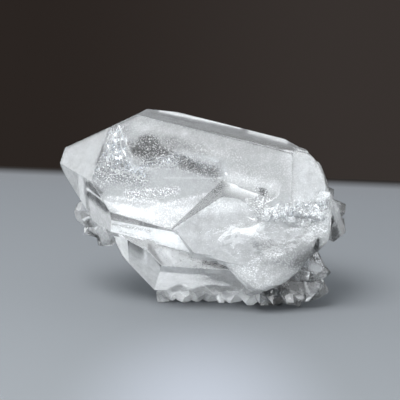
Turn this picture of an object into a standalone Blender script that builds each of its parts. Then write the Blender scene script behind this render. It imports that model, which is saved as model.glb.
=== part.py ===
"""Faden quartz: a cluster of flattened quartz crystals grown together, with a milky broken end.

Metres, +Z up, seen from -Y, +X from the main crystal's tip to its broken end. Places and sizes
below are in millimetres, measured from the middle of the specimen. The finished cluster is then
set down with its box centred on X = Y = 0 and its feet on Z = 0.
"""

import math
import random

import bmesh
import bpy
from mathutils import Matrix, Vector, noise
from mathutils.bvhtree import BVHTree

MM = 0.001
NAME = "quartz_cluster"

# Quartz: six prism sides 60 degrees apart, and end faces whose normals lean this far off the axis.
RHOMB_LEAN = math.radians(51.79)

# The surface it rests on, below the middle of the specimen.
FLOOR = -28.8

# Where a crystal's tip points: compass angle from +X, rise, and the roll of its front side.
MAIN_SET = (168.3, 12.3, 28.1)
LOWER_SET = (-173.0, 5.7, 11.4)
FRONT_SET = (-178.5, 8.7, 0.1)

# Distances of a crystal's faces from its own centre, counted round from its front side. MORE are
# small extra faces and breaks, each a place on the plane and the plane's normal.
MAIN_CENTRE = (0.0, 7.3, 0.5)
MAIN_SIDES = (7.4, 15.1, 22.5, 12.6, 13.1, 15.4)
MAIN_ENDS = (21.7, 24.2, 25.8, 24.0, 25.2, 23.3)
MAIN_BACK = 27.0
MAIN_MORE = (
    ((-21.8, -1.4, -2.8), (-0.276, -0.921, -0.276)),
    ((24.6, 12.9, 11.9), (0.76, 0.3, 0.58)),
    ((22.8, 0.0, 0.0), (1.0, -0.22, 0.06)),
    ((19.0, 2.0, -16.0), (0.45, -0.15, -0.88)),
)

# A second layer under the main crystal and one on its back, both grown the same way as it.
UNDER_CENTRE = (-3.0, 9.8, -1.6)
UNDER_SIDES = (5.0, 10.0, 12.0, 8.0, 12.2, 13.4)
UNDER_ENDS = (21.0, 23.0, 22.4, 21.3, 21.4, 20.7)
UNDER_BACK = 14.0
BACK_CENTRE = (4.0, 12.0, -2.0)
BACK_SIDES = (6.0, 9.0, 12.5, 10.6, 10.5, 8.0)
BACK_ENDS = (24.0, 24.0, 17.5, 16.0, 17.0, 24.0)
BACK_BACK = 14.0

LOWER_CENTRE = (0.0, 4.7, -16.3)
LOWER_SIDES = (5.15, 10.2, 6.6, 9.8, 11.1, 4.2)
LOWER_ENDS = (12.7, 20.0, 20.0, 17.4, 15.0, 9.6)
LOWER_BACK = 11.5
LOWER_MORE = (((-18.0, 4.7, -13.8), (-0.712, -0.522, -0.47)),)

FRONT_CENTRE = (6.0, 4.1, -4.95)
FRONT_SIDES = (8.5, 9.95, 12.0, 6.0, 12.0, 11.5)
FRONT_ENDS = (20.0, 9.1, 20.0, 20.0, 20.0, 13.2)
FRONT_BACK = 17.0
FRONT_MORE = (((6.5, -4.3, 3.4), (0.3, -0.86, 0.41)),)

# The milky end: a mass with blunt, rounded sides, each at its distance from the mass's centre.
MASS_CENTRE = (15.0, 6.5, -5.0)
MASS_SIDES = (
    ((-0.07, -0.86, 0.5), 10.2),
    ((0.03, -1.0, 0.0), 10.9),
    ((1.0, 0.0, 0.05), 17.2),
    ((0.68, 0.1, 0.73), 19.8),
    ((0.66, -0.1, -0.75), 16.0),
    ((0.0, 0.0, -1.0), 19.5),
    ((-0.7, -0.2, -0.68), 15.5),
    ((-1.0, 0.0, 0.1), 13.0),
    ((-0.1, 0.3, 0.95), 15.5),
    ((0.0, 1.0, -0.1), 15.0),
    ((0.7, 0.7, 0.0), 18.5),
    ((0.0, 0.6, -0.8), 19.0),
)
MASS_ROUNDNESS = 11
DISH_SPACING = 7.5
DISH_DEPTH = 1.5
LUMP_SPACING = 2.6
LUMP_HEIGHT = 0.25

# Small crystals: place of the middle, setting, radius and length from the middle to the tip.
FEET = (
    ((-8.6, 10.8, -26.2), (195, -50, 0), 1.5, 3.2),
    ((-6.6, 11.4, -26.8), (215, -30, 20), 1.3, 2.6),
    ((-0.6, 11.6, -26.8), (150, -35, 20), 1.9, 3.4),
    ((5.4, 10.2, -27.3), (262, -60, 30), 1.1, 2.2),
    ((2.0, 18.5, -26.0), (80, -25, 0), 3.2, 5.2),
    ((-7.0, 15.5, -25.6), (140, -30, 12), 2.7, 4.8),
    ((12.5, 19.5, -25.2), (60, -35, 8), 3.2, 5.6),
)
SPLINTERS = (
    ((21.8, 5.4, -24.4), (322, -42, 10), 1.9, 4.6),
    ((23.2, 5.6, -22.8), (345, -34, 0), 2.5, 6.0),
    ((26.2, 5.4, -23.0), (352, -20, 40), 3.0, 5.2),
    ((23.9, 5.9, -24.9), (310, -58, 15), 1.8, 3.8),
    ((25.4, 5.6, -18.4), (5, -14, 20), 3.0, 6.2),
    ((29.4, 4.6, -16.0), (342, -64, 0), 0.8, 3.6),
    ((17.0, 4.6, -24.4), (285, -40, 0), 2.8, 4.2),
)
BUD = (
    ((-25.2, 12.4, -8.4), (205, -35, 20), 2.9, 4.6),
    ((-23.2, 9.0, -9.8), (222, -44, 0), 2.2, 4.2),
    ((-22.6, 10.5, -11.6), (190, -40, 30), 1.6, 3.4),
)
GROUPS = {"foot": FEET, "splinter": SPLINTERS, "bud": BUD}

# Chips: broken pieces with many small faces. Place of the middle, reach to each side, faces.
CHIPS = (
    ((-29.2, 12.0, -5.6), (3.0, 3.0, 3.5), 60),
    ((-27.9, 12.4, -8.0), (2.4, 3.0, 2.6), 60),
    ((31.0, 10.0, -7.2), (4.7, 5.4, 6.2), 22),
    ((32.8, 10.4, -4.4), (3.9, 3.6, 2.6), 14),
    ((33.2, 9.6, -9.0), (3.5, 3.6, 3.4), 15),
    ((30.6, 13.6, -2.4), (3.4, 4.0, 3.4), 14),
    ((28.6, 17.0, -9.0), (4.2, 5.0, 5.2), 18),
    ((29.4, 6.4, -10.6), (2.2, 2.4, 2.0), 12),
    ((25.6, 7.0, 3.4), (6.1, 6.0, 6.3), 44),
    ((24.2, 12.6, 6.6), (4.6, 5.0, 4.6), 26),
    ((28.2, 4.2, -1.4), (3.7, 4.4, 4.6), 26),
    ((-3.9, 10.6, -26.6), (2.3, 2.2, 2.6), 13),
    ((-1.9, 12.2, -26.4), (1.9, 2.0, 2.6), 12),
    ((3.0, 11.2, -26.8), (2.9, 2.0, 2.2), 13),
    ((8.2, 10.8, -26.9), (3.4, 2.6, 2.6), 15),
    ((12.6, 9.0, -26.2), (3.0, 3.2, 3.0), 15),
    ((16.8, 8.2, -26.3), (2.7, 3.0, 2.7), 14),
    ((19.6, 7.4, -26.4), (2.5, 2.6, 2.6), 14),
    ((20.4, 3.6, -22.4), (2.6, 2.4, 2.8), 13),
    ((13.4, 2.6, -22.6), (2.4, 2.4, 2.2), 12),
    ((5.5, 15.8, -25.4), (7.4, 4.2, 4.2), 20),
)
CHIP_UNEVEN = 0.1

# How uneven a small crystal's faces are, as a share of its radius.
IRREGULAR = 0.26
SHAPE_SEED = 5

# The glittering band of small crystals across the broken end, between two points of its front.
BAND_START = (13.5, -4.2, -3.4)
BAND_END = (30.4, -1.0, -2.0)
BAND_COUNT = 64
BAND_SPREAD = 2.7
BAND_RADIUS = (0.55, 1.9)
BAND_SUNK = 0.6
BAND_SEED = 11

# The small pit in the front side: a crystal's print.
PIT_PLACE = (15.1, -2.1, 2.6)
PIT_SET = (100, -12, 10)
PIT_RADIUS = 1.5
PIT_DEPTH = 1.2


def crystal_frame(setting):
    """The axis toward the tip, the front side's normal and the third axis, of a crystal's setting."""
    compass, rise, roll = (math.radians(angle) for angle in setting)
    level = math.cos(rise)
    axis = Vector((level * math.cos(compass), level * math.sin(compass), math.sin(rise)))
    viewer = Vector((0.0, -1.0, 0.0))
    front = (viewer - axis * viewer.dot(axis)).normalized()
    turned = front * math.cos(roll) + axis.cross(front) * math.sin(roll)
    return axis, turned, axis.cross(turned)


def crystal_faces(setting, sides, ends, back):
    """(normal, distance) of each face of a quartz crystal with one finished tip."""
    axis, front, across = crystal_frame(setting)
    faces = [(-axis, back)]
    for k in range(6):
        angle = math.radians(60 * k)
        side = front * math.cos(angle) + across * math.sin(angle)
        faces.append((side, sides[k]))
        faces.append((axis * math.cos(RHOMB_LEAN) + side * math.sin(RHOMB_LEAN), ends[k]))
    return faces


def cut(mesh, point, normal):
    """Slices off what lies beyond a plane, and closes the slice with one flat face."""
    everything = mesh.verts[:] + mesh.edges[:] + mesh.faces[:]
    made = bmesh.ops.bisect_plane(
        mesh, geom=everything, dist=1e-7, plane_co=point, plane_no=normal, clear_outer=True
    )
    rim = [item for item in made["geom_cut"] if isinstance(item, bmesh.types.BMEdge)]
    if rim:
        bmesh.ops.holes_fill(mesh, edges=rim, sides=0)


def finish(mesh, name):
    """An object of this mesh, its faces turned outward."""
    bmesh.ops.recalc_face_normals(mesh, faces=mesh.faces[:])
    data = bpy.data.meshes.new(name)
    mesh.to_mesh(data)
    mesh.free()
    return bpy.data.objects.new(name, data)


def block(centre, reach):
    """A mesh with one cube in it, `reach` from its centre to each side, to cut a shape from."""
    mesh = bmesh.new()
    bmesh.ops.create_cube(mesh, size=2 * reach * MM, matrix=Matrix.Translation(Vector(centre) * MM))
    return mesh


def crystal(name, centre, setting, sides, ends, back, more=()):
    """A quartz crystal cut from a block, face by face, and then by the other planes given."""
    mesh = block(centre, 2.2 * max(*sides, *ends, back))
    for normal, distance in crystal_faces(setting, sides, ends, back):
        cut(mesh, (Vector(centre) + normal * distance) * MM, normal)
    for point, normal in more:
        cut(mesh, Vector(point) * MM, Vector(normal).normalized())
    return finish(mesh, name)


def small_crystal(name, centre, setting, radius, length):
    """A small crystal of uneven faces, about `length` from its middle to the tip and to its root."""
    rng = random.Random(f"{SHAPE_SEED} {name}")
    tip = length * math.cos(RHOMB_LEAN)
    sides = [radius * rng.uniform(1.0 - IRREGULAR, 1.0 + IRREGULAR) for _ in range(6)]
    ends = [tip + radius * rng.uniform(0.0, 2.0 * IRREGULAR) for _ in range(6)]
    return crystal(name, centre, setting, sides, ends, length)


def chip(name, centre, reach, count):
    """A broken piece: a block cut by `count` planes spread evenly round it, each a little uneven."""
    rng = random.Random(f"{SHAPE_SEED} {name}")
    mesh = block(centre, 2.0 * max(reach))
    for index in range(count):
        height = 1.0 - (2.0 * index + 1.0) / count
        turn = index * math.pi * (3.0 - math.sqrt(5.0)) + rng.uniform(-0.3, 0.3)
        level = math.sqrt(1.0 - height * height)
        normal = Vector((level * math.cos(turn), level * math.sin(turn), height))
        touch = Vector(n * r for n, r in zip(normal, reach)).length
        distance = touch * rng.uniform(1.0 - 2.0 * CHIP_UNEVEN, 1.0)
        cut(mesh, (Vector(centre) + normal * distance) * MM, normal)
    return finish(mesh, name)


def front_clearance():
    """What the front crystal grew into: the room before its face, taken from the main crystal."""
    faces = crystal_faces(FRONT_SET, FRONT_SIDES, FRONT_ENDS, FRONT_BACK)
    mesh = block(FRONT_CENTRE, 30.0)
    centre = Vector(FRONT_CENTRE)
    front_side, side_end, lower_end = faces[1], faces[4], faces[12]
    cut(mesh, (centre + front_side[0] * front_side[1]) * MM, -front_side[0])
    for normal, distance in (side_end, lower_end):
        cut(mesh, (centre + normal * distance) * MM, normal)
    return finish(mesh, "front clearance")


def mass_reach(direction):
    """How far the milky mass reaches in a direction: flat sides that round into each other."""
    total = 0.0
    for normal, distance in MASS_SIDES:
        toward = direction.dot(Vector(normal).normalized())
        if toward > 0.0:
            total += (toward / distance) ** MASS_ROUNDNESS
    return total ** (-1.0 / MASS_ROUNDNESS)


def milky_mass():
    """The swollen end, broken all over into shell-shaped dishes with low ridges between them."""
    mesh = bmesh.new()
    bmesh.ops.create_icosphere(mesh, subdivisions=5, radius=1.0)
    for vertex in mesh.verts:
        direction = vertex.co.normalized()
        place = direction * mass_reach(direction)
        nearest = noise.voronoi(place / DISH_SPACING)[0][0]
        dish = DISH_DEPTH * (min(nearest, 0.8) ** 2 - 0.3)
        lump = LUMP_HEIGHT * noise.noise(place / LUMP_SPACING)
        vertex.co = (Vector(MASS_CENTRE) + place + direction * (dish + lump)) * MM
    return finish(mesh, "milky mass")


def band_crystals(surface):
    """Small crystals standing out of a surface along the glittering band."""
    rng = random.Random(BAND_SEED)
    start, end = Vector(BAND_START), Vector(BAND_END)
    found = []
    for index in range(BAND_COUNT):
        along = (index + rng.random()) / BAND_COUNT
        spread = BAND_SPREAD * (0.35 + 0.9 * along)
        place = start.lerp(end, along) + Vector((0.0, 0.0, rng.uniform(-spread, spread)))
        hit, normal, _, _ = surface.ray_cast((place + Vector((0, -12, 0))) * MM, Vector((0, 1, 0)))
        if hit is None:
            continue
        lean = Vector((rng.uniform(-1, 1), rng.uniform(-0.6, 0.2), rng.uniform(-1, 1)))
        tip = (normal + lean).normalized()
        setting = (
            math.degrees(math.atan2(tip.y, tip.x)),
            math.degrees(math.asin(tip.z)),
            rng.uniform(0, 60),
        )
        low, high = BAND_RADIUS
        radius = (low + (high - low) * rng.random() ** 2) * (0.7 + 0.45 * along)
        length = radius * rng.uniform(1.0, 2.1)
        sunk = hit / MM - normal * BAND_SUNK * radius
        found.append(small_crystal(f"band {index}", sunk, setting, radius, length))
    return found


def combine(target, others, operation):
    """Joins or removes a whole group of shapes, exactly, and keeps the result as the target's mesh."""
    group = bpy.data.collections.new(f"{operation} {target.name}")
    for other in others:
        group.objects.link(other)
    step = target.modifiers.new(operation, "BOOLEAN")
    step.operation = operation
    step.solver = "EXACT"
    step.operand_type = "COLLECTION"
    step.collection = group
    bpy.context.view_layer.update()
    result = bpy.data.meshes.new_from_object(target.evaluated_get(bpy.context.evaluated_depsgraph_get()))
    target.modifiers.remove(step)
    target.data = result
    bpy.data.collections.remove(group)
    for other in others:
        bpy.data.objects.remove(other)


def surface_of(thing):
    """The object's surface, to find points on."""
    mesh = bmesh.new()
    mesh.from_mesh(thing.data)
    surface = BVHTree.FromBMesh(mesh)
    mesh.free()
    return surface


def set_down(thing):
    """Flattens the feet on the surface it rests on, and moves the origin under the middle of the box."""
    mesh = bmesh.new()
    mesh.from_mesh(thing.data)
    cut(mesh, Vector((0, 0, FLOOR)) * MM, Vector((0, 0, -1)))
    low = Vector(min(vertex.co[axis] for vertex in mesh.verts) for axis in range(3))
    high = Vector(max(vertex.co[axis] for vertex in mesh.verts) for axis in range(3))
    shift = Vector((-(low.x + high.x) / 2, -(low.y + high.y) / 2, -low.z))
    bmesh.ops.translate(mesh, verts=mesh.verts[:], vec=shift)
    mesh.to_mesh(thing.data)
    mesh.free()
    return shift


def clear_quartz():
    """Colourless quartz, a little clouded: it lets the light through."""
    material = bpy.data.materials.new("clear quartz")
    material.use_nodes = True
    shader = material.node_tree.nodes["Principled BSDF"]
    shader.inputs["Base Color"].default_value = (0.86, 0.89, 0.9, 1.0)
    shader.inputs["Roughness"].default_value = 0.12
    shader.inputs["Metallic"].default_value = 0.0
    shader.inputs["Transmission Weight"].default_value = 0.8
    shader.inputs["IOR"].default_value = 1.544
    return material


def clear_scene():
    for item in list(bpy.data.objects):
        bpy.data.objects.remove(item)


def main():
    clear_scene()
    shown = bpy.data.collections.new("Faden quartz")
    bpy.context.scene.collection.children.link(shown)
    cluster = crystal(NAME, MAIN_CENTRE, MAIN_SET, MAIN_SIDES, MAIN_ENDS, MAIN_BACK, MAIN_MORE)
    shown.objects.link(cluster)
    combine(cluster, [front_clearance()], "DIFFERENCE")
    grown = [
        milky_mass(),
        crystal("under", UNDER_CENTRE, MAIN_SET, UNDER_SIDES, UNDER_ENDS, UNDER_BACK),
        crystal("back", BACK_CENTRE, MAIN_SET, BACK_SIDES, BACK_ENDS, BACK_BACK),
        crystal(
            "lower", LOWER_CENTRE, LOWER_SET, LOWER_SIDES, LOWER_ENDS, LOWER_BACK, LOWER_MORE
        ),
        crystal(
            "front", FRONT_CENTRE, FRONT_SET, FRONT_SIDES, FRONT_ENDS, FRONT_BACK, FRONT_MORE
        ),
    ]
    combine(cluster, grown, "UNION")
    combine(cluster, [small_crystal("pit", PIT_PLACE, PIT_SET, PIT_RADIUS, PIT_DEPTH)], "DIFFERENCE")
    small = band_crystals(surface_of(cluster))
    for group, table in GROUPS.items():
        small += [small_crystal(f"{group} {i}", *numbers) for i, numbers in enumerate(table)]
    small += [chip(f"chip {i}", *numbers) for i, numbers in enumerate(CHIPS)]
    combine(cluster, small, "UNION")
    cluster.data.materials.append(clear_quartz())
    return set_down(cluster)


main()
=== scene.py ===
"""Looks of the faden quartz: clear crystals, a milky broken end, fractures and a thread inside.

Metres in the model's frame. Places are worked out in millimetres from the middle of the
specimen, as in the part's source, and in_frame() carries them into the frame.
"""

import math

import bmesh
import bpy
import numpy as np
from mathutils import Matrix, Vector
from mathutils.bvhtree import BVHTree


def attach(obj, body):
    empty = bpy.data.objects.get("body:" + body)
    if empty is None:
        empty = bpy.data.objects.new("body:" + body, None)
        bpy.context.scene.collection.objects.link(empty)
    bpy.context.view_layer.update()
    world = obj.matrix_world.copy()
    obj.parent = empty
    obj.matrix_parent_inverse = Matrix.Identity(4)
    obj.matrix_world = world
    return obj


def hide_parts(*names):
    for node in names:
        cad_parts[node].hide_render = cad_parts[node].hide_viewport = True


MM = 0.001
NODE = "quartz_cluster"

# The specimen's middle in the frame, in millimetres.
MIDDLE = np.array((-0.59, -11.409, 28.8))

# The camera of the photograph: its height angle, and its distance from the specimen's middle.
CAMERA_RISE = math.radians(12.0)
CAMERA_DISTANCE = 349.1
CAMERA_LENS = 128.25
SENSOR_WIDTH = 36.0
PIXELS_ACROSS = 400

# The directions toward the camera, and up and to the right in the picture.
VIEW_BACK = np.array((0.0, -math.cos(CAMERA_RISE), math.sin(CAMERA_RISE)))
VIEW_UP = np.array((0.0, math.sin(CAMERA_RISE), math.cos(CAMERA_RISE)))
VIEW_RIGHT = np.array((1.0, 0.0, 0.0))

# Corners of the model's solid that lie closer than this are one corner, in metres.
WELD_GAP = 2e-6
# Edges that turn by less than this are drawn soft, the others sharp and slightly worn.
SHARP_ANGLE = math.radians(22)

# Quartz: six prism sides 60 degrees apart, and end faces whose normals lean this far off the axis.
RHOMB_LEAN = math.radians(51.79)
# Each crystal: its axis's compass, rise and roll in degrees, its middle, and in millimetres the
# distances of its six sides, its six end faces and the plane behind.
MAIN_SET = (168.3, 12.3, 28.1)
MAIN_CENTRE = np.array((0.0, 7.3, 0.5))
MAIN_SIDES = (7.4, 15.1, 22.5, 12.6, 13.1, 15.4)
MAIN_ENDS = (21.7, 24.2, 25.8, 24.0, 25.2, 23.3)
MAIN_BACK = 27.0
LOWER_SET = (-173.0, 5.7, 11.4)
LOWER_CENTRE = np.array((0.0, 4.7, -16.3))
LOWER_SIDES = (5.15, 10.2, 6.6, 9.8, 11.1, 4.2)
LOWER_ENDS = (12.7, 20.0, 20.0, 17.4, 15.0, 9.6)
LOWER_BACK = 11.5
FRONT_SET = (-178.5, 8.7, 0.1)
FRONT_CENTRE = np.array((6.0, 4.1, -4.95))
FRONT_SIDES = (8.5, 9.95, 12.0, 6.0, 12.0, 11.5)
FRONT_ENDS = (20.0, 9.1, 20.0, 20.0, 20.0, 13.2)
FRONT_BACK = 17.0
# The milky mass: its middle, its sides as (direction, distance), and how sharp its corners are.
MASS_CENTRE = np.array((15.0, 6.5, -5.0))
MASS_SIDES = (
    ((-0.07, -0.86, 0.5), 10.2),
    ((0.03, -1.0, 0.0), 10.9),
    ((1.0, 0.0, 0.05), 17.2),
    ((0.68, 0.1, 0.73), 19.8),
    ((0.66, -0.1, -0.75), 16.0),
    ((0.0, 0.0, -1.0), 19.5),
    ((-0.7, -0.2, -0.68), 15.5),
    ((-1.0, 0.0, 0.1), 13.0),
    ((-0.1, 0.3, 0.95), 15.5),
    ((0.0, 1.0, -0.1), 15.0),
    ((0.7, 0.7, 0.0), 18.5),
    ((0.0, 0.6, -0.8), 19.0),
)
MASS_ROUNDNESS = 11.0

# The table, in metres: how far its far edge is turned, in degrees, where that edge lies behind the
# middle, how far the table reaches elsewhere, its tones from FLOOR_NEAR to FLOOR_FAR, each with its
# share of the way, slightly darker toward the back as a painted falloff of light, and a painted pool
# of light in front.
FLOOR_EDGE_TURN = 11.3
FLOOR_EDGE_AT = 0.172
FLOOR_REACH = 1.5
FLOOR_NEAR = -0.2
FLOOR_FAR = 0.22
FLOOR_ROUGHNESS = 0.6
FLOOR_TONES = (
    (0.001, (0.084, 0.092, 0.099)),
    (0.4, (0.081, 0.088, 0.095)),
    (0.78, (0.08, 0.0862, 0.0932)),
    (0.84, (0.079, 0.084, 0.0905)),
    (0.872, (0.0096, 0.0084, 0.0078)),
)
# A painted pool of light on the floor in front: its middle, its reach and its tone.
FLOOR_LIGHT_POOL_PLACE = (0.0, -0.078, 0.0)
FLOOR_LIGHT_POOL_REACH = (0.034, 0.07, 1.0)
FLOOR_LIGHT_POOL_TONE = (0.122, 0.132, 0.149)

# The soft light above, in metres and watts.
OVERHEAD_PLACE = (-0.2, -0.37, 0.56)
OVERHEAD_SIZE = 0.35
OVERHEAD_POWER = 17.0
OVERHEAD_COLOUR = (1.0, 0.98, 0.97)

# The studio round it: the backdrop's tone at the left, then each light as the axis along which
# it comes in, where it starts and where it is full, and its brightness.
BACKDROP_LEFT = (0.024, 0.0185, 0.016)
STUDIO_LIGHTS = (
    ("X", -0.12, 0.12, (0.039, 0.032, 0.029)),
    ("X", -0.4, -0.85, (3.0, 3.05, 3.1)),
    ("Y", 0.2, -0.4, (4.9, 4.98, 5.06)),
    ("Z", 0.25, 0.5, (1.9, 1.94, 1.98)),
)

# The glass. Its bump adds coarse lumps, by this share, to fine chips.
GLASS_TINT = (0.95, 0.97, 0.98, 1.0)
GLASS_ROUGHNESS = 0.03
QUARTZ_IOR = 1.544
LUMP_SCALE = 420.0
LUMP_SHARE = 0.6
CHIP_SCALE = 900.0
CHIP_DETAIL = 4.0
BUMP_DEPTH = 0.0006

# How strongly the broken mass and the crystal faces are embossed.
BROKEN_BUMP = 0.36
FACE_BUMP = 0.02

# The narrow flat along each sharp edge, in millimetres.
EDGE_WEAR = 0.09

# The haze under the surface: how deep it lies, and its longest triangle edge in millimetres on
# the faces that the photograph shows and behind. A face counts as shown from this cosine on.
SKIN_DEPTH = 0.14
SKIN_EDGE = 0.6
SKIN_EDGE_BEHIND = 2.5
SHOWN_COSINE = 0.15
# A small face of the skin lies on a crystal's face within this gap in millimetres and above
# this cosine.
FACE_GAP = 0.12
FACE_COSINE = 0.996

# The haze just under each face, as (how much it hides, how white it is); the whiteness of each face
# is partly painted light and shade, set by how bright the face looks from light and reflections. A
# region is a crystal's name and the number of its face: sides 0 to 5, end faces 6 to 11.
REGION_LOOKS = {
    "main 0": (0.44, 0.74),
    "main 1": (0.55, 0.72),
    "main 2": (0.35, 0.6),
    "main 3": (0.35, 0.6),
    "main 4": (0.8, 0.7),
    "main 5": (0.95, 1.0),
    "main 6": (0.65, 0.69),
    "main 7": (0.3, 0.3),
    "main 8": (0.4, 0.6),
    "main 9": (0.4, 0.6),
    "main 10": (0.8, 0.6),
    "main 11": (0.5, 0.6),
    "bevel": (0.6, 0.25),
    "lower cut": (0.85, 1.0),
    "lower 0": (0.3, 0.8),
    "lower 1": (0.4, 0.5),
    "lower 5": (0.65, 1.0),
    "lower 6": (0.35, 0.6),
    "lower 11": (0.75, 1.0),
    "front 0": (0.75, 0.85),
    "front 1": (0.5, 0.2),
    "front 5": (0.85, 1.0),
    "front 7": (0.6, 0.45),
    "front 11": (0.7, 0.9),
    "mass": (0.65, 0.82),
    "bud": (0.42, 1.0),
    "band": (0.55, 1.0),
    "crust": (0.5, 0.6),
    "splinters": (0.32, 0.3),
    "feet": (0.5, 1.0),
    "other": (0.4, 0.7),
}

# The pieces round the crystals, each by the box it is in. The first box that holds a face counts.
ZONES = (
    ("feet", (-14.0, -6.0, -30.0), (15.0, 30.0, -22.6)),
    ("splinters", (13.0, -6.0, -30.0), (40.0, 30.0, -14.0)),
    ("crust", (29.4, 4.0, -17.0), (40.0, 30.0, 12.0)),
    ("bud", (-40.0, 4.0, -16.0), (-20.0, 30.0, -1.0)),
    ("band", (11.0, -30.0, -9.0), (36.0, 3.0, 3.5)),
)
# Faces that the crystals' own planes leave out: name, a point on it, its outward normal.
ODD_FACES = (
    ("bevel", (-21.8, -1.4, -2.8), (-0.276, -0.921, -0.276)),
    ("lower cut", (-18.0, 4.7, -13.8), (-0.712, -0.522, -0.47)),
)
# How strongly the small pieces of a zone differ in tone, block by block along this axis.
LOOSE_REGIONS = {"feet": 0.45, "bud": 0.7, "crust": 1.0, "splinters": 1.0}
BLOCK_AXIS = np.array((0.9, 0.2, 0.35))
BLOCK_LENGTH = 2.1
BLOCK_TONES = (0.1, -0.55, 0.2, -0.3, -0.65, 0.15, -0.2, 0.25, -0.7, -0.1, 0.2, -0.45)

# A point is on the mass's own surface within these shares of the mass's reach.
MASS_SURFACE = (0.93, 1.035)
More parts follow.
